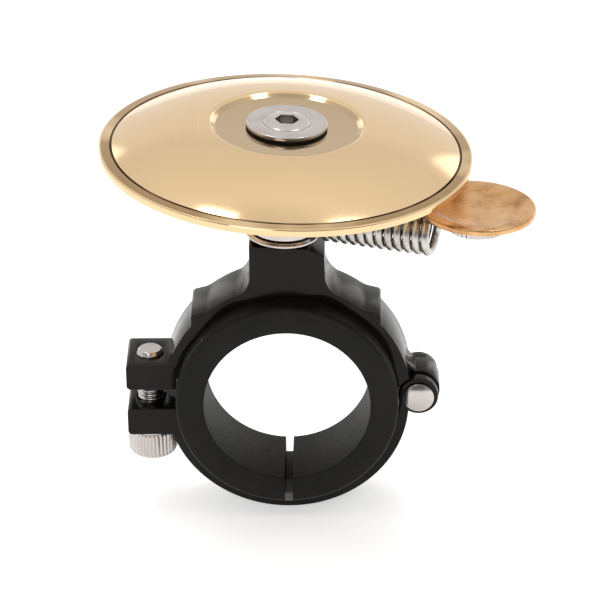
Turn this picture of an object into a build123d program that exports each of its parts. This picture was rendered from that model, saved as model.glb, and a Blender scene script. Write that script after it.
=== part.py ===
from build123d import *
import math
import os

os.makedirs("parts", exist_ok=True)

# Bicycle bell on a hinged handlebar clamp.
# Frame: origin on the handlebar's axis at the middle of the clamp's width,
# +X towards the hinge, +Y along the handlebar (away from the rider), +Z up to the dome.
# All lengths are in millimetres.

# --- handlebar shim ---
bar_r = 11.9
shim_r = 15.9
shim_front = -7.3
shim_back = 4.5
shim_edge = 0.35
groove_w = 1.1
groove_deep = 2.5

# --- clamp halves ---
half_w = 4.0
clamp_bore_r = 15.95
upper_r = 17.6
strap_r = 17.35
strap_drop = 1.2

neck_mid = 0.3
neck_half = 5.3
neck_root_z = 19.4
neck_z = 23.6
bevel_in = 3.4
bevel_out = 6.2
bevel_top_z = 23.45
bevel_low_z = 22.15
cove_foot = (8.0, 15.6)
slope_foot = (11.4, 13.55)
step_x = 13.45
step_top_z = 13.1
shoulder_low = 11.3

ear_x = -23.0
ear_root_x = -14.6
upper_ear_low = 1.0
upper_ear_top = 5.0
lower_ear_low = -6.4
lower_ear_top = -2.2
ear_round = 0.6

# --- hinge ---
hinge_x = 18.75
hinge_z = -0.35
fork_r = 2.8
knuckle_r = 3.05
knuckle_half = 2.0
knuckle_gap = 0.1
pin_r = 1.5
pin_clear = 0.03
pin_head_r = 2.2
pin_head_h = 0.95

# --- clamp screw ---
screw_x = -19.7
screw_r = 1.96
tapped_r = 2.0
ear_clear_r = 2.2
screw_tip_z = 5.6
screw_washer_r = 3.45
screw_washer_t = 0.6
screw_head_r = 3.5
screw_head_h = 3.9
screw_hex = 3.0

# --- bell stack, heights along its own leaning axis from the neck's seat ---
seat_x = -0.4
lean_side = 3.2
lean_back = 2.2
cup_r = 5.2
cup_h = 1.1
hub_r = 4.6
hub_low = 1.1
hub_top = 8.1
arm_deg = -13.3
arm_s = 3.7
stud_r = 1.85
stud_end = 8.6
spacer_r = 3.4
gasket_r = 5.7
gasket_t = 0.8
upper_gasket_t = 0.35
rim_s = 12.45
rim_r = 26.2
crease_r = 24.35
crease_h = 1.3
crown_mid = (18.0, 3.79)
bowl_mid = (17.6, 2.92)
lip_r = 10.8
floor_r = 9.95
crown_h = 5.1
floor_h = 4.5
floor_t = 1.0
dome_hole_r = 2.6
dome_washer_t = 0.5
dome_screw_end = -6.3
dome_head_r = 3.3
dome_head_h = 0.45
dome_hex = 3.0

# --- striker ---
wire_r = 0.6
coil_r = 2.55
coil_pitch = 1.32
coil_start = 5.55
coil_turns = 12.5
disc_at = 27.7
disc_r = 8.2
disc_top = 9.16
disc_t = 0.9
disc_band = 2.5
disc_dish = 0.35
disc_stud_r = 1.5
nut_r = 4.4
nut_h = 1.2

# Local axes of the leaning stack, square to the neck's seat.
stack = Plane(Location((seat_x, 0, neck_z), (-lean_back, lean_side, 0)))
# Upright plane through the stack's axis, for turned profiles: x is radius, y is height.
turning = Plane(origin=stack.origin, x_dir=stack.x_dir, z_dir=-stack.y_dir)
arm_a = math.radians(arm_deg)
across = Plane.XZ


def ring_points(radius, depth, teeth):
    """Corner points of a knurled rim with straight V teeth."""
    points = []
    for i in range(2 * teeth):
        r = radius if i % 2 == 0 else radius - depth
        a = math.pi * i / teeth
        points.append((r * math.cos(a), r * math.sin(a)))
    return points


def cap_mid(radius, height):
    """Half way point, from the rim inwards, of a spherical cap centred on its axis."""
    big = (radius**2 + height**2) / (2 * height)
    return (radius / 2, math.sqrt(big**2 - radius**2 / 4) - (big - height))


def arm_point(out, side, height):
    """Point in the stack's own axes: out along the striker arm, side across it."""
    x = out * math.cos(arm_a) - side * math.sin(arm_a)
    y = out * math.sin(arm_a) + side * math.cos(arm_a)
    return stack.from_local_coords(Vector(x, y, height))


# Shim ring between the handlebar and the clamp, with a full length groove that lets it flex.
with BuildPart() as shim:
    with BuildSketch(Plane.XZ.offset(-shim_back)):
        Circle(shim_r)
        Circle(bar_r, mode=Mode.SUBTRACT)
        with Locations((0, -bar_r - groove_deep / 2 + 0.5)):
            Rectangle(groove_w, groove_deep + 1.0, mode=Mode.SUBTRACT)
    extrude(amount=shim_back - shim_front)
    chamfer(shim.edges().filter_by(GeomType.CIRCLE).group_by(SortBy.RADIUS)[-1], shim_edge)
shim.part.label = "handlebar_shim"
export_step(shim.part, "parts/handlebar_shim.step")

# Upper clamp half: arch, waisted neck, shoulder steps, slotted ear and middle hinge knuckle.
with BuildPart() as upper:
    with BuildSketch(across):
        Circle(upper_r)
        with Locations((0, -upper_r / 2 + upper_ear_low)):
            Rectangle(3 * upper_r, upper_r, mode=Mode.SUBTRACT)
        with Locations((0, -upper_r)):
            Rectangle(3 * upper_r, upper_r, mode=Mode.SUBTRACT)
        for side in (-1, 1):
            with BuildLine():
                top = Line((neck_mid, neck_z + 1), (neck_mid + side * neck_half, neck_z + 1))
                flank = Line(top @ 1, (neck_mid + side * neck_half, neck_root_z))
                cove = TangentArc(flank @ 1, (side * cove_foot[0], cove_foot[1]), tangent=(0, -1))
                slope = Line(cove @ 1, (side * slope_foot[0], slope_foot[1]))
                land = Line(slope @ 1, (side * (step_x - 0.35), step_top_z))
                nose = Line(land @ 1, (side * step_x, step_top_z - 0.3))
                drop = Line(nose @ 1, (side * step_x, shoulder_low))
                inside = Line(drop @ 1, (neck_mid, shoulder_low))
                Line(inside @ 1, top @ 0)
            make_face()
        # bevel on the neck's corner under the striker
        with BuildLine():
            Polyline(
                (bevel_in, neck_z + 2),
                (bevel_in, bevel_top_z),
                (bevel_out, bevel_low_z),
                (bevel_out, neck_z + 2),
                close=True,
            )
        make_face(mode=Mode.SUBTRACT)
        with Locations(((ear_x + ear_root_x) / 2, (upper_ear_low + upper_ear_top) / 2)):
            Rectangle(ear_root_x - ear_x, upper_ear_top - upper_ear_low)
        Circle(clamp_bore_r, mode=Mode.SUBTRACT)
    extrude(amount=half_w, both=True)
    # seat for the bell stack
    split(bisect_by=stack, keep=Keep.BOTTOM)
    # room for the lower half's fork
    with BuildSketch(across):
        with Locations((hinge_x, hinge_z)):
            Circle(fork_r + 0.3)
    extrude(amount=half_w + 1, both=True, mode=Mode.SUBTRACT)
    # middle knuckle, joined to the arch
    with BuildSketch(across):
        with Locations((hinge_x, hinge_z)):
            Circle(knuckle_r)
        with BuildLine():
            Polyline(
                (16.2, hinge_z),
                (18.0, hinge_z),
                (18.4, 2.6),
                (17.05, 4.3),
                (15.2, 5.2),
                (16.2, hinge_z),
            )
        make_face()
        Circle(clamp_bore_r, mode=Mode.SUBTRACT)
    extrude(amount=knuckle_half, both=True)
    with BuildSketch(across):
        with Locations((hinge_x, hinge_z)):
            Circle(pin_r)
    extrude(amount=half_w, both=True, mode=Mode.SUBTRACT)
    # tapped hole in the ear
    with BuildSketch(Plane.XY.offset(upper_ear_low - 1)):
        with Locations((screw_x, 0)):
            Circle(tapped_r)
    extrude(amount=upper_ear_top - upper_ear_low + 2, mode=Mode.SUBTRACT)
    # blind tapped hole down the neck
    with BuildSketch(stack.offset(3)):
        Circle(tapped_r)
    extrude(amount=-(3 - dome_screw_end + 0.3), mode=Mode.SUBTRACT)
    fillet(upper.edges().filter_by(Axis.Y).group_by(Axis.X)[0], ear_round)
upper.part.label = "upper_clamp"
export_step(upper.part, "parts/upper_clamp.step")

# Lower strap: half ring with its ear and the two hinge forks, hanging a little open.
with BuildPart() as strap:
    with BuildSketch(across):
        with Locations((0, -strap_drop)):
            Circle(strap_r)
        with Locations((0, upper_r + hinge_z)):
            Rectangle(4 * upper_r, 2 * upper_r, mode=Mode.SUBTRACT)
        with Locations((-upper_r, lower_ear_top + 5)):
            Rectangle(2 * upper_r, 10, mode=Mode.SUBTRACT)
        with Locations(((ear_x + ear_root_x) / 2, (lower_ear_low + lower_ear_top) / 2)):
            Rectangle(ear_root_x - ear_x, lower_ear_top - lower_ear_low)
        with Locations((0, -strap_drop)):
            Circle(clamp_bore_r, mode=Mode.SUBTRACT)
    extrude(amount=half_w, both=True)
    with BuildSketch(across):
        with Locations((hinge_x, hinge_z)):
            Circle(fork_r)
    extrude(amount=half_w, both=True)
    # slot for the upper half's knuckle
    with BuildSketch(across):
        with Locations((hinge_x, hinge_z)):
            Circle(knuckle_r + 0.3)
    extrude(amount=knuckle_half + knuckle_gap, both=True, mode=Mode.SUBTRACT)
    with BuildSketch(across):
        with Locations((hinge_x, hinge_z)):
            Circle(pin_r + pin_clear)
    extrude(amount=half_w + 1, both=True, mode=Mode.SUBTRACT)
    with BuildSketch(Plane.XY.offset(lower_ear_low - 1)):
        with Locations((screw_x, 0)):
            Circle(ear_clear_r)
    extrude(amount=lower_ear_top - lower_ear_low + 2, mode=Mode.SUBTRACT)
    # spot face that clears the screw's head
    with BuildSketch(Plane.XY.offset(lower_ear_low)):
        with Locations((screw_x, 0)):
            Circle(screw_head_r + 0.35)
    extrude(amount=-6, mode=Mode.SUBTRACT)
    fillet(strap.edges().filter_by(Axis.Y).group_by(Axis.X)[0], ear_round)
strap.part.label = "lower_strap"
export_step(strap.part, "parts/lower_strap.step")

# Hinge pin: shank, low domed head at the front and a riveted tail behind.
pin_cap = -half_w - 0.5 - pin_head_h / 2
with BuildPart() as pin:
    with BuildSketch(Plane.XY.move(Location((hinge_x, 0, hinge_z)))):
        with BuildLine():
            Polyline(
                (0, pin_cap - 0.45),
                (0, half_w + 0.5),
                (1.45, half_w + 0.5),
                (1.85, half_w + 0.05),
                (pin_r, half_w + 0.05),
                (pin_r, -half_w - 0.05),
                (pin_head_r, -half_w - 0.05),
                (pin_head_r, pin_cap),
            )
            ThreePointArc(
                (pin_head_r, pin_cap),
                (cap_mid(pin_head_r, 0.45)[0], pin_cap - cap_mid(pin_head_r, 0.45)[1]),
                (0, pin_cap - 0.45),
            )
        make_face()
    revolve(axis=Axis((hinge_x, 0, hinge_z), (0, 1, 0)))
pin.part.label = "hinge_pin"
export_step(pin.part, "parts/hinge_pin.step")

# Clamp screw: chamfered shank up through both ears, knurled socket head below.
head_top = lower_ear_low - screw_washer_t
with BuildPart() as clamp_screw:
    with BuildSketch(Plane.XY.offset(head_top - screw_head_h)):
        with Locations((screw_x, 0)):
            Circle(screw_head_r - 0.15)
    extrude(amount=screw_head_h)
    with BuildSketch(Plane.XY.offset(head_top - screw_head_h + 0.4)):
        with Locations((screw_x, 0)):
            Polygon(*ring_points(screw_head_r, 0.22, 36), align=None)
    extrude(amount=screw_head_h - 0.7)
    with BuildSketch(Plane.XY.offset(head_top)):
        with Locations((screw_x, 0)):
            Circle(screw_r)
    extrude(amount=screw_tip_z - head_top)
    chamfer(clamp_screw.faces().sort_by(Axis.Z)[-1].edges(), 0.42)
    with BuildSketch(Plane.XY.offset(head_top - screw_head_h)):
        with Locations((screw_x, 0)):
            RegularPolygon(screw_hex / 2, 6, major_radius=False)
    extrude(amount=2.2, mode=Mode.SUBTRACT)
clamp_screw.part.label = "clamp_screw"
export_step(clamp_screw.part, "parts/clamp_screw.step")

# Plain washer under the screw's head.
with BuildPart() as screw_washer:
    with BuildSketch(Plane.XY.offset(head_top)):
        with Locations((screw_x, 0)):
            Circle(screw_washer_r)
            Circle(screw_r + 0.04, mode=Mode.SUBTRACT)
    extrude(amount=screw_washer_t)
screw_washer.part.label = "clamp_screw_washer"
export_step(screw_washer.part, "parts/clamp_screw_washer.step")

# Dished washer on the neck's seat.
with BuildPart() as cup:
    with BuildSketch(turning):
        with BuildLine():
            Polyline(
                (2.1, 0),
                (3.0, 0),
                (cup_r, 0.55),
                (cup_r, 0.85),
                (4.75, cup_h),
                (2.1, cup_h),
                (2.1, 0),
            )
        make_face()
    revolve(axis=Axis(stack.origin, stack.z_dir))
cup.part.label = "cup_washer"
export_step(cup.part, "parts/cup_washer.step")

# Striker hub: turned post with a side stud that the spring is wound on.
with BuildPart() as hub:
    with BuildSketch(turning):
        with BuildLine():
            Polyline(
                (2.1, hub_low),
                (hub_r - 0.3, hub_low),
                (hub_r, hub_low + 0.3),
                (hub_r, hub_top - 0.6),
                (hub_r - 0.6, hub_top),
                (2.1, hub_top),
                (2.1, hub_low),
            )
        make_face()
    revolve(axis=Axis(stack.origin, stack.z_dir))
    stud_from = arm_point(3.4, 0, arm_s)
    stud_dir = arm_point(4.4, 0, arm_s) - stud_from
    with BuildSketch(Plane(origin=stud_from, z_dir=stud_dir)):
        Circle(stud_r)
    extrude(amount=stud_end - 3.4)
hub.part.label = "striker_hub"
export_step(hub.part, "parts/striker_hub.step")

# Spacer tube from the hub up to the dome.
gasket_low = rim_s + floor_h - floor_t - gasket_t
with BuildPart() as spacer:
    with BuildSketch(stack.offset(hub_top)):
        Circle(spacer_r)
        Circle(2.1, mode=Mode.SUBTRACT)
    extrude(amount=gasket_low - hub_top)
spacer.part.label = "dome_spacer"
export_step(spacer.part, "parts/dome_spacer.step")

# Rubber washer below the dome.
with BuildPart() as low_gasket:
    with BuildSketch(stack.offset(gasket_low)):
        Circle(gasket_r)
        Circle(2.1, mode=Mode.SUBTRACT)
    extrude(amount=gasket_t)
low_gasket.part.label = "lower_gasket"
export_step(low_gasket.part, "parts/lower_gasket.step")

# Dome: shallow bowl with a creased, nearly flat brim and a flat-bottomed recess at the crown.
with BuildPart() as dome:
    with BuildSketch(turning):
        with BuildLine():
            floor_in = Line((dome_hole_r, rim_s + floor_h), (floor_r - 0.3, rim_s + floor_h))
            foot = Line(floor_in @ 1, (floor_r, rim_s + floor_h + 0.3))
            wall = Line(foot @ 1, (lip_r, rim_s + crown_h - 0.15))
            lip = Line(wall @ 1, (lip_r + 0.35, rim_s + crown_h))
            crown = ThreePointArc(lip @ 1, (crown_mid[0], rim_s + crown_mid[1]), (crease_r, rim_s + crease_h))
            brim = Line(crown @ 1, (rim_r - 0.2, rim_s + crease_h - 0.15))
            edge = Line(brim @ 1, (rim_r, rim_s + crease_h - 0.35))
            face = Line(edge @ 1, (rim_r, rim_s + 0.2))
            under = Line(face @ 1, (rim_r - 0.2, rim_s))
            lower = Line(under @ 1, (crease_r - 0.85, rim_s + 0.45))
            bowl = ThreePointArc(lower @ 1, (bowl_mid[0], rim_s + bowl_mid[1]), (11.6, rim_s + 4.05))
            cone = Line(bowl @ 1, (11.0, rim_s + floor_h - floor_t))
            flat = Line(cone @ 1, (dome_hole_r, rim_s + floor_h - floor_t))
            Line(flat @ 1, floor_in @ 0)
        make_face()
    revolve(axis=Axis(stack.origin, stack.z_dir))
dome.part.label = "dome"
export_step(dome.part, "parts/dome.step")

# Rubber washer above the dome's floor.
floor_s = rim_s + floor_h
with BuildPart() as up_gasket:
    with BuildSketch(stack.offset(floor_s)):
        Circle(gasket_r)
        Circle(3.0, mode=Mode.SUBTRACT)
    extrude(amount=upper_gasket_t)
up_gasket.part.label = "upper_gasket"
export_step(up_gasket.part, "parts/upper_gasket.step")

# Countersunk steel washer that the dome screw seats in.
seat_s = floor_s + upper_gasket_t
seat_top = seat_s + dome_washer_t
with BuildPart() as dome_washer:
    with BuildSketch(turning):
        with BuildLine():
            Polyline(
                (dome_head_r - dome_washer_t + 0.05, seat_s),
                (gasket_r, seat_s),
                (gasket_r, seat_top - 0.2),
                (gasket_r - 0.2, seat_top),
                (dome_head_r + 0.05, seat_top),
                (dome_head_r - dome_washer_t + 0.05, seat_s),
            )
        make_face()
    revolve(axis=Axis(stack.origin, stack.z_dir))
dome_washer.part.label = "dome_washer"
export_step(dome_washer.part, "parts/dome_washer.step")

# Dome screw: raised countersunk head with a hexagon socket, down into the neck.
with BuildPart() as dome_screw:
    with BuildSketch(turning):
        with BuildLine():
            Polyline(
                (0, dome_screw_end),
                (screw_r - 0.4, dome_screw_end),
                (screw_r, dome_screw_end + 0.4),
                (screw_r, seat_top - (dome_head_r - screw_r)),
                (dome_head_r, seat_top),
            )
            Line((0, dome_screw_end), (0, seat_top + dome_head_h))
            cap = cap_mid(dome_head_r, dome_head_h)
            ThreePointArc((dome_head_r, seat_top), (cap[0], seat_top + cap[1]), (0, seat_top + dome_head_h))
        make_face()
    revolve(axis=Axis(stack.origin, stack.z_dir))
    with BuildSketch(stack.offset(seat_top + 1)):
        RegularPolygon(dome_hex / 2, 6, major_radius=False)
    extrude(amount=-2.6, mode=Mode.SUBTRACT)
dome_screw.part.label = "dome_screw"
export_step(dome_screw.part, "parts/dome_screw.step")

# Striker spring: close wound coils, then a tail that rises to an eye under the thumb disc.
eye_s = disc_top - disc_t - wire_r - 0.02
eye_r = disc_stud_r + wire_r + 0.05
coil_end = coil_start + coil_turns * coil_pitch
coil_dir = arm_point(1, 0, 0) - arm_point(0, 0, 0)
coil_plane = Plane(origin=arm_point(coil_start, 0, arm_s), x_dir=-stack.z_dir, z_dir=coil_dir)


def eye_point(deg):
    """Point on the centre line of the wire's eye, 0 degrees pointing out along the arm."""
    a = math.radians(deg)
    return arm_point(disc_at + eye_r * math.cos(a), eye_r * math.sin(a), eye_s)


with BuildPart() as spring:
    with BuildLine() as coil_line:
        add(coil_plane.location * Helix(coil_pitch, coil_turns * coil_pitch, coil_r, mode=Mode.PRIVATE))
    with BuildSketch(Plane(origin=coil_line.line @ 0, z_dir=coil_line.line % 0)):
        Circle(wire_r)
    sweep(path=coil_line.wires()[0], is_frenet=True)
    with BuildLine() as tail_line:
        riser = Bezier(
            arm_point(coil_end, 0, arm_s + coil_r),
            arm_point(coil_end + 0.16, -2.0, arm_s + coil_r),
            arm_point(disc_at - 4.8, -eye_r, eye_s),
            arm_point(disc_at - 3.6, -eye_r, eye_s),
        )
        run = Line(riser @ 1, eye_point(-90))
        ThreePointArc(run @ 1, eye_point(30), eye_point(150))
    with BuildSketch(Plane(origin=tail_line.line @ 0, z_dir=tail_line.line % 0)):
        Circle(wire_r)
    sweep(path=tail_line.wires()[0])
spring.part.label = "striker_spring"
export_step(spring.part, "parts/striker_spring.step")

# Thumb disc: shallow dish with a broad raised rim band and a threaded stud below.
disc_centre = arm_point(disc_at, 0, 0)
disc_side = Plane(origin=disc_centre, x_dir=stack.x_dir, z_dir=-stack.y_dir)
disc_low = disc_top - disc_t
with BuildPart() as disc:
    with BuildSketch(disc_side):
        with BuildLine():
            Polyline(
                (0, eye_s - wire_r - nut_h - 0.1),
                (disc_stud_r - 0.2, eye_s - wire_r - nut_h - 0.1),
                (disc_stud_r, eye_s - wire_r - nut_h + 0.1),
                (disc_stud_r, disc_low),
                (disc_r - 0.25, disc_low),
                (disc_r, disc_low + 0.25),
                (disc_r, disc_top - 0.25),
                (disc_r - 0.25, disc_top),
                (disc_r - disc_band, disc_top - 0.1),
                (disc_r - disc_band - 0.45, disc_top - disc_dish),
            )
            dish = cap_mid(disc_r - disc_band - 0.45, 0.16)
            ThreePointArc(
                (disc_r - disc_band - 0.45, disc_top - disc_dish),
                (dish[0], disc_top - disc_dish - dish[1]),
                (0, disc_top - disc_dish - 0.16),
            )
            Line((0, disc_top - disc_dish - 0.16), (0, eye_s - wire_r - nut_h - 0.1))
        make_face()
    revolve(axis=Axis(disc_centre, stack.z_dir))
disc.part.label = "thumb_disc"
export_step(disc.part, "parts/thumb_disc.step")

# Knurled nut that clamps the wire's eye under the disc.
nut_plane = Plane(
    origin=arm_point(disc_at, 0, eye_s - wire_r - nut_h),
    x_dir=stack.x_dir,
    z_dir=stack.z_dir,
)
with BuildPart() as nut:
    with BuildSketch(nut_plane):
        Polygon(*ring_points(nut_r, 0.25, 40), align=None)
        Circle(disc_stud_r + 0.02, mode=Mode.SUBTRACT)
    extrude(amount=nut_h)
nut.part.label = "striker_nut"
export_step(nut.part, "parts/striker_nut.step")
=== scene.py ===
"""Bicycle bell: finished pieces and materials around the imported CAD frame."""
import math
import random

import bmesh
import bpy
from mathutils import Matrix, Vector


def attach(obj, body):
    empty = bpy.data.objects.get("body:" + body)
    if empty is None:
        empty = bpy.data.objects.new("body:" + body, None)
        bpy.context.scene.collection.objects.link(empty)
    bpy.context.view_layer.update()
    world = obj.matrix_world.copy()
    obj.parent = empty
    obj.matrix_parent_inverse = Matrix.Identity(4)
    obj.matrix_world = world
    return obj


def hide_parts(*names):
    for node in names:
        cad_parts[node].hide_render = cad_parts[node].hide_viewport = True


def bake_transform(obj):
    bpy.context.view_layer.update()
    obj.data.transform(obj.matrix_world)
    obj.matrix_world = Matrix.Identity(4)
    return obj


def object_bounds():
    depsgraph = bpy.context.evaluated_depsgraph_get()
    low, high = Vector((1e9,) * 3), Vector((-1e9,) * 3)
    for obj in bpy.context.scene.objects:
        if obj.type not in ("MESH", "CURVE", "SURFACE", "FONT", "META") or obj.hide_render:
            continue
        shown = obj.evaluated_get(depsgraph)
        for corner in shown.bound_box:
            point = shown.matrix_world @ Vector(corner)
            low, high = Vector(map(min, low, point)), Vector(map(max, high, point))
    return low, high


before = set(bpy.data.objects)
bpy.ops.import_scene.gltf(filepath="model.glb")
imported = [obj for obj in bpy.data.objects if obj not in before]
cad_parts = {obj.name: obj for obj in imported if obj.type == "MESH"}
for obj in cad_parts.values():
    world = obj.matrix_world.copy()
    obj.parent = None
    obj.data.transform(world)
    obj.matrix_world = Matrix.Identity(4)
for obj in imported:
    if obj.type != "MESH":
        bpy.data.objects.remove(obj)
cad_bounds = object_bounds()
MM = 0.001
random.seed(7)

# Driving sizes in millimetres, as in the CAD model. Heights ending in _S are measured along the
# bell stack's own leaning axis, from the neck's seat.
HALF_WIDTH = 4.0

HINGE = Vector((18.75, 0.0, -0.35))
PIN_R = 1.5
PIN_TAIL_R = 1.85
PIN_HEAD_R = 2.2
PIN_HEAD_H = 0.42
PIN_DOME_H = 0.45
PIN_CLEAR = 0.05

SCREW_X = -19.7
SHANK_R = 1.96
THREAD_PITCH = 0.7
THREAD_DEPTH = 0.3
SCREW_TIP = 5.6
SCREW_HEAD_R = 3.5
SCREW_HEAD_H = 3.9
SCREW_TEETH = 36
KNURL_DEPTH = 0.22
HEX = 3.0
EAR_LOW = -6.4
SCREW_WASHER_R = 3.45
SCREW_WASHER_T = 0.6
# hairline between the clamp screw's washer and the ear, so that their faces don't share a plane
WASHER_GAP = 0.01

SEAT_X = -0.4
NECK_Z = 23.6
LEAN_SIDE = math.radians(3.2)
LEAN_BACK = math.radians(2.2)
BORE_R = 2.1
CUP_R = 5.2
CUP_H = 1.1
HUB_R = 4.6
HUB_TOP_S = 8.1
STUD_R = 1.84
STUD_START = 3.6
STUD_END = 8.6
SPACER_R = 3.4
GASKET_R = 5.7
GASKET_T = 0.8
UPPER_GASKET_T = 0.35
WASHER_T = 0.5
HEAD_R = 3.3
HEAD_H = 0.45
DOME_SCREW_END_S = -6.3

RIM_S = 12.45
RIM_R = 26.2
CREASE_R = 24.35
CREASE_H = 1.3
CROWN_S = RIM_S + 5.1
FLOOR_S = RIM_S + 4.5
FLOOR_T = 1.0
FLOOR_R = 9.95
LIP_R = 10.8
DOME_HOLE_R = 2.6
SEAT_TOP = FLOOR_S + UPPER_GASKET_T + WASHER_T

ARM = math.radians(-13.3)
ARM_S = 3.7
WIRE_R = 0.6
COIL_R = 2.55
COIL_PITCH = 1.32
COIL_START = 5.55
COIL_TURNS = 12.5
DISC_OUT = 27.7
DISC_R = 8.2
DISC_TOP = 9.16
DISC_LOW = DISC_TOP - 0.9
DISC_STUD_R = 1.5
EYE_S = DISC_LOW - WIRE_R - 0.02
EYE_R = DISC_STUD_R + WIRE_R + 0.05
NUT_R = 4.4
NUT_H = 1.2
NUT_TEETH = 40
NUT_KNURL = 0.25

# The bell stack leans with the neck's seat, and the striker arm points off across it.
STACK = (
    Matrix.Translation((SEAT_X * MM, 0, NECK_Z * MM))
    @ Matrix.Rotation(-LEAN_BACK, 4, "X")
    @ Matrix.Rotation(LEAN_SIDE, 4, "Y")
)
ARM_FRAME = STACK @ Matrix.Rotation(ARM, 4, "Z")
PIN_FRAME = Matrix.Translation(HINGE * MM) @ Matrix.Rotation(math.radians(90), 4, "X")
SCREW_FRAME = Matrix.Translation((SCREW_X * MM, 0, 0))
DISC_FRAME = ARM_FRAME @ Matrix.Translation((DISC_OUT * MM, 0, 0))


# ---------------------------------------------------------------- mesh helpers
def rounded(corners, steps=4):
    """Outline through (x, y, radius) corners, each with its radius taken off by an arc."""
    outline = []
    for i, (x, y, radius) in enumerate(corners):
        here = Vector((x, y))
        if radius <= 0:
            outline.append((x, y))
            continue
        to_last = (Vector(corners[i - 1][:2]) - here).normalized()
        to_next = (Vector(corners[(i + 1) % len(corners)][:2]) - here).normalized()
        half = to_last.angle(to_next) / 2
        back = radius / math.tan(half)
        centre = here + (to_last + to_next).normalized() * radius / math.sin(half)
        start = here + to_last * back - centre
        end = here + to_next * back - centre
        swing = start.angle_signed(end)
        for k in range(steps + 1):
            turn = Matrix.Rotation(-swing * k / steps, 2)
            outline.append(tuple(centre + turn @ start))
    return outline


def arc(start, middle, end, steps):
    """Points after start, up to end, of the circle through three points."""
    (ax, ay), (bx, by), (cx, cy) = start, middle, end
    d = 2 * (ax * (by - cy) + bx * (cy - ay) + cx * (ay - by))
    ux = ((ax**2 + ay**2) * (by - cy) + (bx**2 + by**2) * (cy - ay) + (cx**2 + cy**2) * (ay - by)) / d
    uy = ((ax**2 + ay**2) * (cx - bx) + (bx**2 + by**2) * (ax - cx) + (cx**2 + cy**2) * (bx - ax)) / d
    r = math.hypot(ax - ux, ay - uy)
    a0 = math.atan2(ay - uy, ax - ux)
    a1 = math.atan2(cy - uy, cx - ux)
    a1 += 2 * math.pi * round((a0 - a1) / (2 * math.pi))
    return [
        (ux + r * math.cos(a0 + (a1 - a0) * k / steps), uy + r * math.sin(a0 + (a1 - a0) * k / steps))
        for k in range(1, steps + 1)
    ]


def finish_mesh(obj, smooth_deg=32):
    """Shades by angle and links the piece to the scene."""
    obj.data.validate()
    obj.data.shade_smooth()
    obj.data.set_sharp_from_angle(angle=math.radians(smooth_deg))
    bpy.context.scene.collection.objects.link(obj)
    return obj


def keep_local(mesh, places):
    """Stores each vertex's place in the piece's own axes, for its material."""
    local = mesh.attributes.new("local", "FLOAT_VECTOR", "POINT")
    local.data.foreach_set("vector", [c for place in places for c in place])


def piece(name, vertices, faces, matrix, smooth_deg=32):
    """New object from millimetre vertices in a local frame, with its mesh in the CAD's frame."""
    mesh = bpy.data.meshes.new(name)
    mesh.from_pydata([[c * MM for c in v] for v in vertices], [], faces)
    bm = bmesh.new()
    bm.from_mesh(mesh)
    bmesh.ops.remove_doubles(bm, verts=bm.verts, dist=1e-7)
    bmesh.ops.recalc_face_normals(bm, faces=bm.faces)
    bm.to_mesh(mesh)
    bm.free()
    keep_local(mesh, [v.co.copy() for v in mesh.vertices])
    mesh.transform(matrix)
    return finish_mesh(bpy.data.objects.new(name, mesh), smooth_deg)


def lathe(name, profile, matrix, segments=160, radius_of=None, closed=False, smooth_deg=32):
    """Turned piece. profile is (radius, height) from one end to the other; radius_of(index,
    angle, radius) may change a ring's radius round its axis."""
    vertices, faces, rings = [], [], []
    for index, (radius, height) in enumerate(profile):
        if radius < 1e-6:
            rings.append([len(vertices)] * segments)
            vertices.append((0, 0, height))
            continue
        ring = []
        for k in range(segments):
            angle = 2 * math.pi * k / segments
            r = radius_of(index, angle, radius) if radius_of else radius
            ring.append(len(vertices))
            vertices.append((r * math.cos(angle), r * math.sin(angle), height))
        rings.append(ring)
    pairs = list(zip(rings, rings[1:]))
    if closed:
        pairs.append((rings[-1], rings[0]))
    for low, high in pairs:
        for k in range(segments):
            n = (k + 1) % segments
            corner = []
            for v in (low[k], low[n], high[n], high[k]):
                if v not in corner:
                    corner.append(v)
            if len(corner) > 2:
                faces.append(corner)
    return piece(name, vertices, faces, matrix, smooth_deg)


def tube(name, path, radius, matrix, sides=14):
    """Round wire along a smooth path, with flat cut ends."""
    vertices, faces = [], []
    normal = None
    for i, point in enumerate(path):
        ahead = path[min(i + 1, len(path) - 1)] - path[max(i - 1, 0)]
        tangent = ahead.normalized()
        if normal is None:
            normal = tangent.orthogonal()
        normal = (normal - tangent * normal.dot(tangent)).normalized()
        side = tangent.cross(normal)
        for k in range(sides):
            a = 2 * math.pi * k / sides
            vertices.append(point + (normal * math.cos(a) + side * math.sin(a)) * radius)
    for i in range(len(path) - 1):
        for k in range(sides):
            n = (k + 1) % sides
            faces.append((i * sides + k, i * sides + n, (i + 1) * sides + n, (i + 1) * sides + k))
    faces.append(tuple(reversed(range(sides))))
    faces.append(tuple(range(len(vertices) - sides, len(vertices))))
    return piece(name, vertices, faces, matrix, 45)


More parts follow.
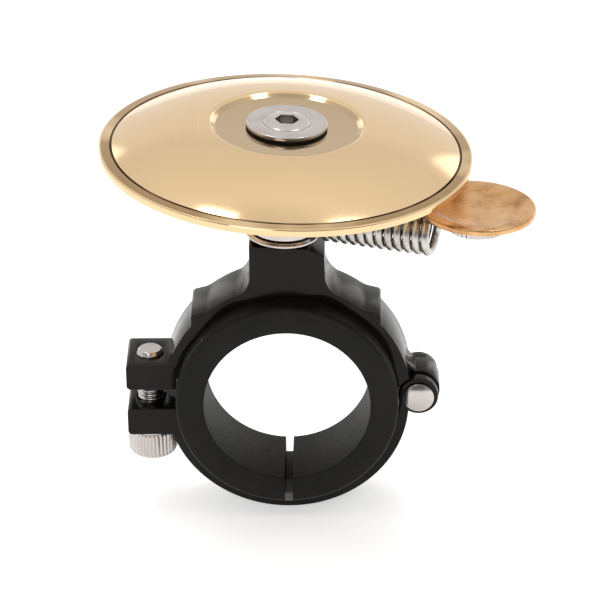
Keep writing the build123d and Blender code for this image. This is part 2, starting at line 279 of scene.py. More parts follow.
def bevelled(node, width, segments=2, min_deg=28):
    """The CAD node's shape as a new piece, with its sharp edges really rounded off."""
    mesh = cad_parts[node].data.copy()
    mesh.name = node + "_finished"
    bm = bmesh.new()
    bm.from_mesh(mesh)
    bmesh.ops.remove_doubles(bm, verts=bm.verts, dist=2e-6)
    bmesh.ops.dissolve_limit(
        bm,
        angle_limit=math.radians(0.6),
        verts=bm.verts,
        edges=bm.edges,
        use_dissolve_boundaries=False,
    )
    least = math.radians(min_deg)
    sharp = [e for e in bm.edges if len(e.link_faces) == 2 and e.calc_face_angle(0) > least]
    bmesh.ops.bevel(
        bm,
        geom=sharp,
        offset=width * MM,
        offset_type="OFFSET",
        segments=segments,
        profile=0.6,
        affect="EDGES",
        clamp_overlap=True,
        harden_normals=False,
    )
    bmesh.ops.recalc_face_normals(bm, faces=bm.faces)
    bm.to_mesh(mesh)
    bm.free()
    keep_local(mesh, [v.co.copy() for v in mesh.vertices])
    obj = bpy.data.objects.new(node + "_finished", mesh)
    mesh.materials.clear()
    return finish_mesh(obj, 40)


def hexagon(flats, angle):
    """Radius of a hexagon of that width across flats, at an angle."""
    return flats / 2 / math.cos((angle % (math.pi / 3)) - math.pi / 6)


def saw(turns):
    """Triangle wave from 0 to 1 and back over each turn."""
    return 1 - abs(2 * (turns % 1) - 1)


# ---------------------------------------------------------------- materials
class Shader:
    """A Principled material and short calls that add nodes to it."""

    def __init__(self, name):
        self.material = bpy.data.materials.new(name)
        self.material.use_nodes = True
        self.tree = self.material.node_tree
        self.bsdf = self.tree.nodes["Principled BSDF"]
        self.coords = self.add("ShaderNodeAttribute", attribute_name="local").outputs["Vector"]

    def add(self, kind, **settings):
        node = self.tree.nodes.new(kind)
        for key, value in settings.items():
            setattr(node, key, value)
        return node

    def link(self, source, target):
        self.tree.links.new(source, target)

    def set(self, **values):
        for key, value in values.items():
            self.bsdf.inputs[key.replace("_", " ")].default_value = value

    def math(self, operation, a, b=None):
        node = self.add("ShaderNodeMath", operation=operation)
        for socket, value in zip(node.inputs, (a, b)):
            if value is None:
                continue
            if isinstance(value, (int, float)):
                socket.default_value = value
            else:
                self.link(value, socket)
        return node.outputs[0]

    def mapped(self, scale, rotation=(0, 0, 0)):
        node = self.add("ShaderNodeMapping")
        node.inputs["Scale"].default_value = scale
        node.inputs["Rotation"].default_value = rotation
        self.link(self.coords, node.inputs["Vector"])
        return node.outputs[0]

    def noise(self, vector, scale, detail=3.0, roughness=0.5):
        node = self.add("ShaderNodeTexNoise")
        node.inputs["Scale"].default_value = scale
        node.inputs["Detail"].default_value = detail
        node.inputs["Roughness"].default_value = roughness
        self.link(vector, node.inputs["Vector"])
        return node.outputs["Fac"]

    def ramp(self, value, low, high, from_value=0.0, to_value=1.0):
        node = self.add("ShaderNodeMapRange", clamp=True)
        for socket, number in zip(list(node.inputs)[1:5], (low, high, from_value, to_value)):
            socket.default_value = number
        self.link(value, node.inputs["Value"])
        return node.outputs[0]

    def colours(self, value, stops):
        node = self.add("ShaderNodeValToRGB")
        elements = node.color_ramp.elements
        while len(elements) < len(stops):
            elements.new(0.5)
        for element, (position, colour) in zip(elements, stops):
            element.position = position
            element.color = (*colour, 1)
        self.link(value, node.inputs["Fac"])
        return node.outputs["Color"]

    def mix(self, factor, first, second):
        node = self.add("ShaderNodeMix", data_type="RGBA")
        sockets = (node.inputs[0], node.inputs[6], node.inputs[7])
        for socket, value in zip(sockets, (factor, first, second)):
            if isinstance(value, (tuple, list)):
                socket.default_value = (*value, 1)
            elif isinstance(value, (int, float)):
                socket.default_value = value
            else:
                self.link(value, socket)
        return node.outputs[2]

    def bump(self, height, distance_mm, strength=1.0, normal=None):
        node = self.add("ShaderNodeBump")
        node.inputs["Distance"].default_value = distance_mm * MM
        node.inputs["Strength"].default_value = strength
        self.link(height, node.inputs["Height"])
        if normal is not None:
            self.link(normal, node.inputs["Normal"])
        return node.outputs["Normal"]

    def radius_mm(self):
        """Distance from the piece's own Z axis, in millimetres."""
        flat = self.add("ShaderNodeVectorMath", operation="MULTIPLY")
        flat.inputs[1].default_value = (1000, 1000, 0)
        self.link(self.coords, flat.inputs[0])
        length = self.add("ShaderNodeVectorMath", operation="LENGTH")
        self.link(flat.outputs[0], length.inputs[0])
        return length.outputs["Value"]

    def rings(self, per_mm, detail=4.0):
        """Random turned rings about the piece's own Z axis."""
        node = self.add("ShaderNodeTexNoise", noise_dimensions="1D")
        node.inputs["Scale"].default_value = per_mm
        node.inputs["Detail"].default_value = detail
        self.link(self.radius_mm(), node.inputs["W"])
        return node.outputs["Fac"]

    def band(self, inner, outer, soft=0.05):
        """Mask of the piece between two radii in millimetres about its own Z axis."""
        radius = self.radius_mm()
        past_inner = self.ramp(radius, inner - soft, inner)
        before_outer = self.ramp(radius, outer + soft, outer)
        return self.math("MULTIPLY", past_inner, before_outer)

    def crevice_shade(self, reach_mm):
        """Painted shade: mask of sockets, knurl valleys and thread roots, found by ambient occlusion."""
        node = self.add("ShaderNodeAmbientOcclusion", samples=8)
        node.inputs["Distance"].default_value = reach_mm * MM
        return self.ramp(node.outputs["AO"], 0.62, 0.22)

    def scratches(self, count=3, fine=2600, keep=0.70):
        """Thin straight marks in a few directions, as a 0 to 1 mask."""
        total = None
        for i in range(count):
            turn = (random.uniform(-0.3, 0.3), random.uniform(-0.3, 0.3), random.uniform(0, math.pi))
            lines = self.noise(self.mapped((1, 0.02, 1), turn), fine, 2.0)
            mask = self.ramp(lines, keep, keep + 0.03)
            total = mask if total is None else self.math("MAXIMUM", total, mask)
        patches = self.ramp(self.noise(self.coords, 140, 2.0), 0.50, 0.60)
        return self.math("MULTIPLY", total, patches)

    def edges(self, radius_mm):
        """Mask of the strip along each edge where a finish wears, and the softened normal there."""
        soft = self.add("ShaderNodeBevel", samples=6)
        soft.inputs["Radius"].default_value = radius_mm * MM
        geometry = self.add("ShaderNodeNewGeometry")
        dot = self.add("ShaderNodeVectorMath", operation="DOT_PRODUCT")
        self.link(soft.outputs["Normal"], dot.inputs[0])
        self.link(geometry.outputs["Normal"], dot.inputs[1])
        return self.ramp(dot.outputs["Value"], 0.985, 0.90), soft.outputs["Normal"]

    def out(self, colour=None, roughness=None, normal=None):
        for value, socket in ((colour, "Base Color"), (roughness, "Roughness"), (normal, "Normal")):
            if value is not None:
                self.link(value, self.bsdf.inputs[socket])
        return self.material


def dome_brass():
    """Polished pale brass, turned rings and hairline scratches. Browner in the crown's recess, which is
    painted shade, and in patches on the brim, which are a painted dark reflection, with a dark line of
    painted shade in the crease."""
    s = Shader("dome_brass")
    s.set(Metallic=1.0, Specular_IOR_Level=0.5, Coat_Weight=0.25, Coat_Roughness=0.06)
    cloud = s.noise(s.coords, 45, 4.0)
    marks = s.scratches(3, 2200, 0.72)
    tone = s.colours(cloud, [(0.3, (0.78, 0.560, 0.315)), (0.7, (0.83, 0.605, 0.350))])
    colour = s.mix(s.math("MULTIPLY", marks, 0.35), tone, (0.93, 0.80, 0.52))
    # painted shade: the crown's recess is turned browner
    colour = s.mix(s.math("MULTIPLY", s.band(-1, LIP_R - 0.3), 0.85), colour, (0.50, 0.365, 0.215))
    # painted dark reflection: patches on the brim turn dark brown
    patches = s.ramp(s.noise(s.coords, 75, 2.0), 0.40, 0.56)
    brim = s.math("MULTIPLY", s.band(CREASE_R + 0.3, RIM_R - 0.35), patches)
    colour = s.mix(s.math("MULTIPLY", brim, 0.85), colour, (0.36, 0.215, 0.085))
    # painted shade: a dark line in the crease groove, patchy along its length
    crease_shade_strength = s.ramp(s.noise(s.coords, 160, 3.0), 0.30, 0.62, 0.45, 1.0)
    groove = s.math("MULTIPLY", s.band(CREASE_R, CREASE_R + 0.26), crease_shade_strength)
    colour = s.mix(groove, colour, (0.07, 0.038, 0.014))
    rings = s.rings(9.0)
    grain = s.noise(s.coords, 5200, 2.0)
    rough = s.math("ADD", s.ramp(cloud, 0.3, 0.7, 0.07, 0.10), s.math("MULTIPLY", marks, 0.15))
    rough = s.math("ADD", rough, s.math("MULTIPLY", rings, 0.04))
    normal = s.bump(rings, 0.0016, 0.6)
    normal = s.bump(grain, 0.0006, 0.5, normal)
    normal = s.bump(marks, -0.004, 0.5, normal)
    return s.out(colour, rough, normal)


def disc_brass():
    """Redder, handled brass: stains, strong scratches, a worn bright rim, and a painted dark reflection
    of the bell on the side towards it.
    """
    s = Shader("disc_brass")
    s.set(Metallic=1.0, Specular_IOR_Level=0.5)
    cloud = s.noise(s.coords, 260, 5.0, 0.6)
    marks = s.scratches(4, 1500, 0.66)
    tone = s.colours(
        cloud, [(0.30, (0.42, 0.19, 0.07)), (0.50, (0.68, 0.39, 0.17)), (0.72, (0.80, 0.52, 0.28))]
    )
    worn, soft = s.edges(0.3)
    # painted reflection: the side towards the bell darkens to the bell's brown
    axes = s.add("ShaderNodeSeparateXYZ")
    s.link(s.coords, axes.inputs[0])
    bell_reflection = s.math("MULTIPLY", s.ramp(axes.outputs["X"], -1.5 * MM, -5.5 * MM), 0.75)
    tone = s.mix(bell_reflection, tone, (0.36, 0.14, 0.05))
    colour = s.mix(s.math("MULTIPLY", marks, 0.6), tone, (0.90, 0.70, 0.40))
    colour = s.mix(s.math("MULTIPLY", worn, 0.6), colour, (0.92, 0.74, 0.42))
    rough = s.math("ADD", s.ramp(cloud, 0.3, 0.7, 0.16, 0.30), s.math("MULTIPLY", marks, 0.15))
    normal = s.bump(s.rings(7.0), 0.003, 0.5, soft)
    normal = s.bump(marks, -0.008, 0.6, normal)
    return s.out(colour, rough, normal)


def bright_steel():
    """Turned stainless steel with fine rings, smudges, a few marks and painted shade in its sockets and
    valleys.
    """
    base = (0.62, 0.575, 0.55)
    s = Shader("bright_steel")
    s.set(Metallic=1.0, Specular_IOR_Level=0.5)
    cloud = s.noise(s.coords, 320, 4.0)
    marks = s.scratches(2, 2400, 0.70)
    darker = tuple(0.80 * c for c in base)
    colour = s.colours(cloud, [(0.3, darker), (0.65, base)])
    colour = s.mix(s.math("MULTIPLY", marks, 0.4), colour, (0.85, 0.84, 0.82))
    # painted shade: near black in the sockets, knurl valleys and thread roots
    colour = s.mix(s.crevice_shade(1.2), colour, (0.018, 0.014, 0.012))
    rough = s.math("ADD", s.ramp(cloud, 0.3, 0.7, 0.16, 0.26), s.math("MULTIPLY", marks, 0.12))
    _, soft = s.edges(0.08)
    normal = s.bump(s.rings(12.0), 0.0025, 0.6, soft)
    normal = s.bump(marks, -0.004, 0.5, normal)
    return s.out(colour, rough, normal)


def spring_steel():
    """Drawn wire: darker steel with lengthwise die lines and painted brownish shade between the coils."""
    s = Shader("spring_steel")
    s.set(Metallic=1.0, Specular_IOR_Level=0.5)
    cloud = s.noise(s.coords, 500, 4.0)
    colour = s.colours(
        cloud, [(0.3, (0.40, 0.37, 0.33)), (0.6, (0.60, 0.58, 0.55)), (0.8, (0.68, 0.66, 0.63))]
    )
    # painted shade: dark brown between the coils
    colour = s.mix(s.crevice_shade(0.9), colour, (0.045, 0.028, 0.020))
    lines = s.noise(s.mapped((0.15, 1, 1)), 4200, 2.0)
    rough = s.ramp(cloud, 0.3, 0.7, 0.22, 0.34)
    return s.out(colour, rough, s.bump(lines, 0.004, 0.4))


def black_anodised():
    """Satin black anodising: fine blast grain, cloudy sheen, thin bright wear on the edges."""
    s = Shader("black_anodised")
    s.set(Metallic=0.0, Specular_IOR_Level=0.16, IOR=1.5)
    cloud = s.noise(s.coords, 120, 4.0)
    grain = s.noise(s.coords, 6500, 2.0)
    worn, soft = s.edges(0.16)
    rubbed = s.math("MULTIPLY", worn, s.ramp(s.noise(s.coords, 600, 3.0), 0.45, 0.62))
    tone = s.colours(cloud, [(0.3, (0.0065, 0.0056, 0.0052)), (0.7, (0.0105, 0.0090, 0.0082))])
    colour = s.mix(s.math("MULTIPLY", rubbed, 0.35), tone, (0.20, 0.19, 0.18))
    rough = s.math("ADD", s.ramp(cloud, 0.3, 0.7, 0.10, 0.17), s.math("MULTIPLY", grain, 0.04))
    return s.out(colour, rough, s.bump(grain, 0.0035, 0.6, soft))


def lit_groove_mouth(s):
    """Mask of the shim groove's floor near its front end, where a pale patch of light is painted."""
    axes = s.add("ShaderNodeSeparateXYZ")
    s.link(s.coords, axes.inputs[0])
    inside = s.math("LESS_THAN", s.math("ABSOLUTE", axes.outputs["X"]), 0.56 * MM)
    front = s.ramp(axes.outputs["Y"], -3.2 * MM, -4.2 * MM)
    floor = s.math("LESS_THAN", axes.outputs["Z"], -14.2 * MM)
    return s.math("MULTIPLY", s.math("MULTIPLY", inside, front), floor)


def shim_black():
    """Matte black moulded nylon: pebbly skin, flow marks and a few pale nicks."""
    s = Shader("shim_black")
    s.set(Metallic=0.0, Specular_IOR_Level=0.18)
    cloud = s.noise(s.coords, 90, 5.0)
    grain = s.noise(s.coords, 3200, 3.0)
    nicks = s.ramp(s.noise(s.coords, 420, 1.0), 0.80, 0.83)
    worn, soft = s.edges(0.25)
    tone = s.colours(cloud, [(0.3, (0.0060, 0.0056, 0.0054)), (0.7, (0.0100, 0.0094, 0.0090))])
    colour = s.mix(s.math("MULTIPLY", worn, 0.2), tone, (0.03, 0.029, 0.027))
    colour = s.mix(nicks, colour, (0.22, 0.21, 0.20))
    # painted light: a pale grey patch on the groove floor's front end
    colour = s.mix(lit_groove_mouth(s), colour, (0.12, 0.112, 0.105))
    rough = s.ramp(grain, 0.3, 0.7, 0.50, 0.64)
    return s.out(colour, rough, s.bump(grain, 0.010, 0.6, soft))


def rubber_black():
    """Dull black rubber with a fine skin."""
    s = Shader("rubber_black")
    s.set(Metallic=0.0, Specular_IOR_Level=0.3)
    cloud = s.noise(s.coords, 900, 4.0)
    colour = s.colours(cloud, [(0.3, (0.008, 0.008, 0.008)), (0.7, (0.018, 0.017, 0.017))])
    return s.out(colour, s.ramp(cloud, 0.3, 0.7, 0.6, 0.8), s.bump(cloud, 0.01, 0.5))


MATERIALS = {
    "dome_brass": dome_brass(),
    "disc_brass": disc_brass(),
    "bright_steel": bright_steel(),
    "spring_steel": spring_steel(),
    "black_anodised": black_anodised(),
    "shim_black": shim_black(),
    "rubber_black": rubber_black(),
}


def place(obj, body, slot, *nodes):
    """Gives a piece its finish, its body and the CAD nodes that it stands for."""
    obj.data.materials.clear()
    obj.data.materials.append(MATERIALS[slot])
    if body:
        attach(obj, body)
    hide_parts(*nodes)
    return obj


# ---------------------------------------------------------------- clamp
def make_clamp():
    place(bevelled("upper_clamp", 0.16), "bell_body", "black_anodised", "upper_clamp")
    place(bevelled("lower_strap", 0.16), "strap", "black_anodised", "lower_strap")
    place(bevelled("handlebar_shim", 0.10), "bell_body", "shim_black", "handlebar_shim")


def make_hinge_pin():
    """Turned pin, head towards -Y: its local +Z runs along world -Y."""
    front = HALF_WIDTH + PIN_CLEAR
    tail = -HALF_WIDTH - 0.5
    brow = front + PIN_HEAD_H
    crown = brow + PIN_DOME_H
    corners = [
        (0, tail, 0),
        (1.45, tail, 0.12),
        (PIN_TAIL_R, -front, 0.05),
        (PIN_R, -front, 0),
        (PIN_R, front, 0),
        (PIN_HEAD_R, front, 0.08),
        (PIN_HEAD_R, brow, 0),
    ]
    profile = rounded(corners)
    cap = arc((PIN_HEAD_R, brow), (1.45, brow + 0.3), (0, crown), 12)
    profile += cap[:-1] + [(0, crown)]
    place(lathe("hinge_pin_turned", profile, PIN_FRAME, 96), "bell_body", "bright_steel", "hinge_pin")


def threaded(name, low, high, tip, matrix, point=0.42):
    """Metric thread as a helical ridge between two heights, with a chamfered point at the top."""
    rows = int((high - low) / (THREAD_PITCH / 8))
    profile = []
    for i in range(rows + 1):
        profile.append((SHANK_R, low + (high - low) * i / rows))
    profile += [(SHANK_R - point, tip), (SHANK_R - point - 0.25, tip), (0, tip)]
    profile = [(0, low)] + profile

    def radius_of(index, angle, radius):
        height = profile[index][1]
        if index == 0 or index > rows + 1:
            return radius
        ridge = saw(height / THREAD_PITCH - angle / (2 * math.pi))
        cut = THREAD_DEPTH * (1 - min(1, 1.35 * ridge))
        near_tip = max(0.0, point - (tip - height))
        return min(radius - cut, SHANK_R - near_tip)

    return lathe(name, profile, matrix, 48, radius_of, smooth_deg=50)


def make_clamp_screw():
    """Knurled socket cap screw with its plain washer, head down."""
    seat = EAR_LOW - SCREW_WASHER_T
    foot = seat - SCREW_HEAD_H
    socket = foot + 2.1
    corners = [
        (0, socket, 0),
        (HEX / 2, socket, 0),
        (HEX / 2, foot + 0.25, 0),
        (1.95, foot, 0),
        (SCREW_HEAD_R - 0.2, foot, 0.25),
        (SCREW_HEAD_R - 0.12, foot + 0.35, 0),
        (SCREW_HEAD_R, foot + 0.45, 0),
        (SCREW_HEAD_R, seat - 0.45, 0),
        (SCREW_HEAD_R - 0.12, seat - 0.3, 0),
        (SCREW_HEAD_R - 0.2, seat, 0.1),
        (0, seat, 0),
    ]
    profile = rounded(corners)

    def radius_of(index, angle, radius):
        height = profile[index][1]
        if abs(radius - HEX / 2) < 1e-4:
            return hexagon(HEX, angle)
        if radius > SCREW_HEAD_R - 0.05 and foot + 0.4 < height < seat - 0.4:
            return radius - KNURL_DEPTH * (1 - saw(angle * SCREW_TEETH / (2 * math.pi)))
        return radius

    head = lathe("clamp_screw_head", profile, SCREW_FRAME, SCREW_TEETH * 8, radius_of)
    place(head, "screw", "bright_steel", "clamp_screw")
    shank = threaded("clamp_screw_thread", seat, SCREW_TIP - 0.05, SCREW_TIP, SCREW_FRAME)
    place(shank, "screw", "bright_steel", "clamp_screw")
    face = EAR_LOW - WASHER_GAP
    bore = SHANK_R + 0.06
    ring = rounded(
        [
            (bore, seat, 0.05),
            (SCREW_WASHER_R, seat, 0.12),
            (SCREW_WASHER_R, face, 0.12),
            (bore, face, 0.05),
        ]
    )
    washer = lathe("clamp_screw_washer_turned", ring, SCREW_FRAME, 96, closed=True)
    place(washer, "screw", "bright_steel", "clamp_screw_washer")


# ---------------------------------------------------------------- bell stack
def make_cup_washer():
    """Dished washer on the neck's seat."""
    cup = rounded(
        [
            (BORE_R, 0, 0),
            (3.0, 0, 0.3),
            (CUP_R, 0.55, 0.1),
            (CUP_R, 0.85, 0.1),
            (4.75, CUP_H, 0.2),
            (BORE_R, CUP_H, 0),
        ]
    )
    washer = lathe("cup_washer_turned", cup, STACK, 128, closed=True)
    place(washer, "bell_body", "bright_steel", "cup_washer")


def make_hub():
    """Turned post with the side stud that the spring is wound on."""
    post = rounded(
        [
            (BORE_R, CUP_H, 0),
            (HUB_R - 0.3, CUP_H, 0.15),
            (HUB_R, CUP_H + 0.3, 0.15),
            (HUB_R, HUB_TOP_S - 0.6, 0.2),
            (HUB_R - 0.6, HUB_TOP_S, 0.2),
            (BORE_R, HUB_TOP_S, 0),
        ]
    )
    hub = lathe("striker_hub_turned", post, STACK, 128, closed=True)
    place(hub, "bell_body", "bright_steel", "striker_hub")

    along_arm = Matrix.Rotation(math.radians(90), 4, "Y")
    stud_frame = ARM_FRAME @ Matrix.Translation((0, 0, ARM_S * MM)) @ along_arm
    stud = rounded(
        [(0, STUD_START, 0), (STUD_R, STUD_START, 0), (STUD_R, STUD_END, 0.3), (0, STUD_END, 0)]
    )
    place(lathe("striker_hub_stud", stud, stud_frame, 64), "bell_body", "bright_steel", "striker_hub")


def make_dome_seat():
    """Spacer tube, the rubber washers each side of the dome's floor, and the steel washer."""
    top = FLOOR_S - FLOOR_T - GASKET_T
    sleeve = rounded(
        [(BORE_R, HUB_TOP_S, 0.1), (SPACER_R, HUB_TOP_S, 0.15), (SPACER_R, top, 0.15), (BORE_R, top, 0.1)]
    )
    spacer = lathe("dome_spacer_turned", sleeve, STACK, 96, closed=True)
    place(spacer, "bell_body", "bright_steel", "dome_spacer")

    seat = FLOOR_S + UPPER_GASKET_T
    for name, low, high, bore in (
        ("lower_gasket", top, top + GASKET_T, BORE_R),
        ("upper_gasket", FLOOR_S, seat, 3.0),
    ):
        disc = rounded(
            [(bore, low, 0.05), (GASKET_R, low, 0.12), (GASKET_R, high, 0.12), (bore, high, 0.05)]
        )
        place(lathe(name + "_moulded", disc, STACK, 96, closed=True), "bell_body", "rubber_black", name)

    dished = rounded(
        [
            (HEAD_R - WASHER_T + 0.08, seat, 0.03),
            (GASKET_R, seat, 0.06),
            (GASKET_R, SEAT_TOP, 0.16),
            (HEAD_R + 0.08, SEAT_TOP, 0.04),
        ]
    )
    washer = lathe("dome_washer_turned", dished, STACK, 160, closed=True)
    place(washer, "bell_body", "bright_steel", "dome_washer")


def make_dome():
    """Shallow dome: flat-floored recess, bulging crown, fine crease groove and a narrow brim."""
    under = FLOOR_S - FLOOR_T
    crease = RIM_S + CREASE_H
    wall_top = (10.6, CROWN_S - 0.15)
    lip_end = (11.3, CROWN_S)
    foot = rounded([(9.4, FLOOR_S, 0), (FLOOR_R, FLOOR_S, 0.35), (*wall_top, 0)])
    profile = [(DOME_HOLE_R, FLOOR_S)] + foot[1:]
    profile += arc(wall_top, (LIP_R + 0.05, CROWN_S - 0.02), lip_end, 8)
    profile += arc(lip_end, (18.0, RIM_S + 3.79), (CREASE_R, crease), 48)
    profile += [
        (CREASE_R + 0.10, crease - 0.30),
        (CREASE_R + 0.16, crease - 0.36),
        (CREASE_R + 0.22, crease - 0.30),
    ]
    profile += rounded(
        [
            (CREASE_R + 0.32, crease - 0.04, 0),
            (RIM_R, crease - 0.16, 0.25),
            (RIM_R, RIM_S, 0.22),
            (23.5, RIM_S + 0.45, 0),
        ]
    )
    profile += arc((23.5, RIM_S + 0.45), (17.6, RIM_S + 2.92), (11.6, RIM_S + 4.05), 24)
    profile += [(11.0, under), (DOME_HOLE_R, under)]
    dome = lathe("dome_spun", profile, STACK, 320, closed=True, smooth_deg=20)
    place(dome, "bell_body", "dome_brass", "dome")


def make_dome_screw():
    """Raised countersunk screw with a hexagon socket."""
    cone = SEAT_TOP - 0.03 - (HEAD_R - SHANK_R)
    profile = rounded(
        [
            (0, SEAT_TOP - 1.2, 0),
            (HEX / 2, SEAT_TOP - 1.2, 0),
            (HEX / 2, SEAT_TOP + HEAD_H - 0.12, 0),
            (1.9, SEAT_TOP + HEAD_H - 0.08, 0),
        ]
    )
    profile += arc(profile[-1], (2.7, SEAT_TOP + 0.22), (HEAD_R - 0.06, SEAT_TOP + 0.03), 8)
    profile += [
        (HEAD_R, SEAT_TOP - 0.03),
        (SHANK_R, cone),
        (SHANK_R, DOME_SCREW_END_S + 0.4),
        (SHANK_R - 0.4, DOME_SCREW_END_S),
        (0, DOME_SCREW_END_S),
    ]

    def radius_of(index, angle, radius):
        return hexagon(HEX, angle) if abs(radius - HEX / 2) < 1e-4 else radius

    screw = lathe("dome_screw_turned", profile, STACK, 144, radius_of)
    place(screw, "bell_body", "bright_steel", "dome_screw")


# ---------------------------------------------------------------- striker
def make_spring():
    """Close wound coils whose last turn leaves as a tail that rises to an eye under the disc."""
    path = []
    steps = 28
    for i in range(int(COIL_TURNS * steps) + 1):
        turn = i / steps
        a = 2 * math.pi * turn
        side = COIL_R * math.sin(a)
        path.append(Vector((COIL_START + COIL_PITCH * turn, side, ARM_S - COIL_R * math.cos(a))))
    end = COIL_START + COIL_PITCH * COIL_TURNS
    high = ARM_S + COIL_R
    controls = (
        Vector((end, 0, high)),
        Vector((end + 0.16, -2.0, high)),
        Vector((DISC_OUT - 4.8, -EYE_R, EYE_S)),
        Vector((DISC_OUT - 3.6, -EYE_R, EYE_S)),
    )
    for i in range(1, 25):
        t = i / 24
        u = 1 - t
        weights = (u**3, 3 * u * u * t, 3 * u * t * t, t**3)
        path.append(sum((c * w for c, w in zip(controls, weights)), Vector()))
    path.append(Vector((DISC_OUT - 2.0, -EYE_R, EYE_S)))
    for i in range(37):
        a = math.radians(-90 + 240 * i / 36)
        path.append(Vector((DISC_OUT + EYE_R * math.cos(a), EYE_R * math.sin(a), EYE_S)))
    spring = tube("striker_spring_wire", path, WIRE_R * 0.985, ARM_FRAME)
    place(spring, None, "spring_steel", "striker_spring")
    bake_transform(spring)


def make_thumb_disc():
    """Dished disc with a broad raised rim band, and its threaded stud."""
    foot = EYE_S - WIRE_R - NUT_H - 0.1
    corners = [
        (0, foot, 0),
        (DISC_STUD_R - 0.2, foot, 0),
        (DISC_STUD_R, foot + 0.2, 0),
        (DISC_STUD_R, DISC_LOW, 0.1),
        (DISC_R, DISC_LOW, 0.28),
        (DISC_R, DISC_TOP, 0.22),
        (DISC_R - 1.7, DISC_TOP - 0.08, 0.3),
        (DISC_R - 2.5, DISC_TOP - 0.28, 0.6),
        (4.4, DISC_TOP - 0.42, 0),
    ]
    profile = rounded(corners, 6)
    profile += arc(profile[-1], (2.3, DISC_TOP - 0.52), (0, DISC_TOP - 0.55), 10)
    profile[-1] = (0, profile[-1][1])
    disc = lathe("thumb_disc_turned", profile, DISC_FRAME, 200, smooth_deg=25)
    place(disc, "striker", "disc_brass", "thumb_disc")


def make_nut():
    """Thin knurled nut under the wire's eye."""
    top = EYE_S - WIRE_R
    foot = top - NUT_H
    bore = DISC_STUD_R + 0.03
    profile = rounded(
        [
            (bore, foot, 0.1),
            (NUT_R - 0.25, foot, 0.1),
            (NUT_R, foot + 0.22, 0),
            (NUT_R, top - 0.22, 0),
            (NUT_R - 0.25, top, 0.1),
            (bore, top, 0.1),
        ],
        3,
    )

    def radius_of(index, angle, radius):
        if radius > NUT_R - 0.1:
            return radius - NUT_KNURL * (1 - saw(angle * NUT_TEETH / (2 * math.pi)))
        return radius

    nut = lathe("striker_nut_knurled", profile, DISC_FRAME, NUT_TEETH * 8, radius_of, closed=True)
    place(nut, "striker", "bright_steel", "striker_nut")


# ---------------------------------------------------------------- stage
# Backdrop brightness by height of the direction looked in, from straight down to straight up.
BACKDROP = [
    (-1.0, 0.8),
    (0.0, 0.95),
    (0.38, 0.92),
    (0.49, 0.84),
    (0.64, 0.90),
    (0.90, 1.0),
    (1.0, 0.75),
]
# A bright strip on each side of the backdrop: how much it counts by height, and by distance from
# the middle.
STRIP_BY_HEIGHT = [(-1.0, 0.0), (-0.55, 1.0), (0.36, 1.0), (0.42, 0.0)]
STRIP_BY_WIDTH = [(0.0, 0.0), (0.36, 0.0), (0.39, 1.0), (0.50, 1.0), (0.53, 0.0)]
STRIP_GAIN = 1.1
# Brightness of the side towards the viewer, which the black parts' front faces reflect.
FRONT_LEVEL = 0.22


def make_floor():
    lowest = cad_bounds[0][2]
    half = 3.0
    corners = [(-half, -half), (half, -half), (half, half), (-half, half)]
    mesh = bpy.data.meshes.new("floor")
    mesh.from_pydata([(x, y, lowest) for x, y in corners], [], [(0, 1, 2, 3)])
    keep_local(mesh, [v.co.copy() for v in mesh.vertices])
    floor = bpy.data.objects.new("floor", mesh)
    s = Shader("floor_paper")
    s.set(Specular_IOR_Level=0.0, Emission_Color=(1, 1, 1, 1), Emission_Strength=0.50)
    paper = s.noise(s.coords, 30, 3.0)
    tone = s.colours(paper, [(0.3, (0.90, 0.90, 0.90)), (0.7, (0.93, 0.93, 0.93))])
    s.out(tone, s.ramp(paper, 0, 1, 0.85, 0.95))
    mesh.materials.append(s.material)
    bpy.context.scene.collection.objects.link(floor)


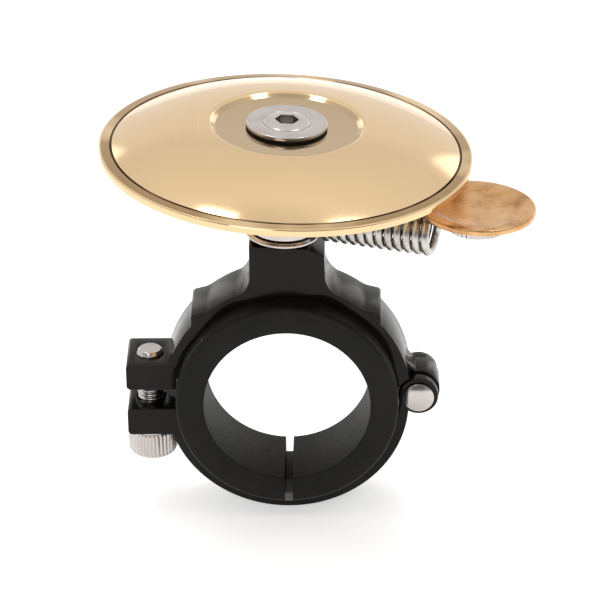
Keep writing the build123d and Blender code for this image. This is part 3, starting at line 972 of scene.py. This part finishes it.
def make_world():
    """White studio: bright backdrop with a brighter strip each side, dim towards the viewer."""
    world = bpy.data.worlds.new("studio")
    world.use_nodes = True
    tree = world.node_tree
    background = tree.nodes["Background"]

    def add(kind, **settings):
        node = tree.nodes.new(kind)
        for key, value in settings.items():
            setattr(node, key, value)
        return node

    def multiply_add(a, b, c=0.0):
        node = add("ShaderNodeMath", operation="MULTIPLY_ADD")
        for socket, value in zip(node.inputs, (a, b, c)):
            if isinstance(value, float):
                socket.default_value = value
            else:
                tree.links.new(value, socket)
        return node.outputs[0]

    def by_stops(value, stops):
        """Grey level through stops placed from -1 to 1."""
        node = add("ShaderNodeValToRGB")
        while len(node.color_ramp.elements) < len(stops):
            node.color_ramp.elements.new(0.5)
        for element, (at, grey) in zip(node.color_ramp.elements, stops):
            element.position = (at + 1) / 2
            element.color = (grey, grey, grey, 1)
        tree.links.new(multiply_add(value, 0.5, 0.5), node.inputs["Fac"])
        return node.outputs["Color"]

    axes = add("ShaderNodeSeparateXYZ")
    tree.links.new(add("ShaderNodeTexCoord").outputs["Generated"], axes.inputs[0])
    width = add("ShaderNodeMath", operation="ABSOLUTE")
    tree.links.new(axes.outputs["X"], width.inputs[0])
    front = add("ShaderNodeMapRange", interpolation_type="SMOOTHSTEP")
    for socket, value in zip(list(front.inputs)[1:5], (-0.65, -0.05, FRONT_LEVEL, 1.0)):
        socket.default_value = value
    tree.links.new(axes.outputs["Y"], front.inputs["Value"])

    height = axes.outputs["Z"]
    strip = multiply_add(by_stops(height, STRIP_BY_HEIGHT), by_stops(width.outputs[0], STRIP_BY_WIDTH))
    change = multiply_add(strip, STRIP_GAIN, 1.0)
    level = multiply_add(by_stops(height, BACKDROP), front.outputs[0])
    tree.links.new(multiply_add(level, change), background.inputs["Strength"])
    background.inputs["Color"].default_value = (1.0, 0.985, 0.965, 1)
    bpy.context.scene.world = world
    bpy.context.scene.view_settings.view_transform = "Standard"


def area_light(name, direction, distance, width, height, radiance):
    """Rectangular panel aimed at the bell, as bright as the radiance says."""
    light = bpy.data.lights.new(name, "AREA")
    light.shape = "RECTANGLE"
    light.size = width
    light.size_y = height
    light.energy = radiance * math.pi * width * height
    obj = bpy.data.objects.new(name, light)
    aim = Vector((0, 0, 0.02))
    obj.location = aim + Vector(direction).normalized() * distance
    obj.rotation_euler = (aim - obj.location).to_track_quat("-Z", "Y").to_euler()
    bpy.context.scene.collection.objects.link(obj)


def make_lights():
    area_light("panel_left", (-0.28, 0.15, 0.92), 0.6, 0.20, 0.10, 7.0)
    area_light("panel_right", (0.36, 0.15, 0.90), 0.6, 0.14, 0.10, 7.0)
    area_light("fill_front", (-0.25, -0.80, 0.60), 1.0, 0.40, 0.20, 4.0)


def make_camera():
    """Long lens, a little above and in front, rolled very slightly."""
    azimuth, elevation, roll = math.radians(1.47), math.radians(28.88), math.radians(-1.1)
    distance = 0.600
    target = Vector((0.00196, 0, 0.0133))
    back = Vector(
        (
            math.sin(azimuth) * math.cos(elevation),
            -math.cos(azimuth) * math.cos(elevation),
            math.sin(elevation),
        )
    )
    right = (-back).cross(Vector((0, 0, 1))).normalized()
    up = back.cross(right)
    right, up = right * math.cos(roll) + up * math.sin(roll), up * math.cos(roll) - right * math.sin(roll)
    data = bpy.data.cameras.new("camera")
    data.sensor_width = 36.0
    data.lens = 252.84
    data.clip_end = 10
    obj = bpy.data.objects.new("camera", data)
    turn = Matrix((right, up, back)).transposed().to_4x4()
    obj.matrix_world = Matrix.Translation(target + back * distance) @ turn
    bpy.context.scene.collection.objects.link(obj)
    bpy.context.scene.camera = obj


make_clamp()
make_hinge_pin()
make_clamp_screw()
make_cup_washer()
make_hub()
make_dome_seat()
make_dome()
make_dome_screw()
make_spring()
make_thumb_disc()
make_nut()
make_floor()
make_world()
make_lights()
make_camera()
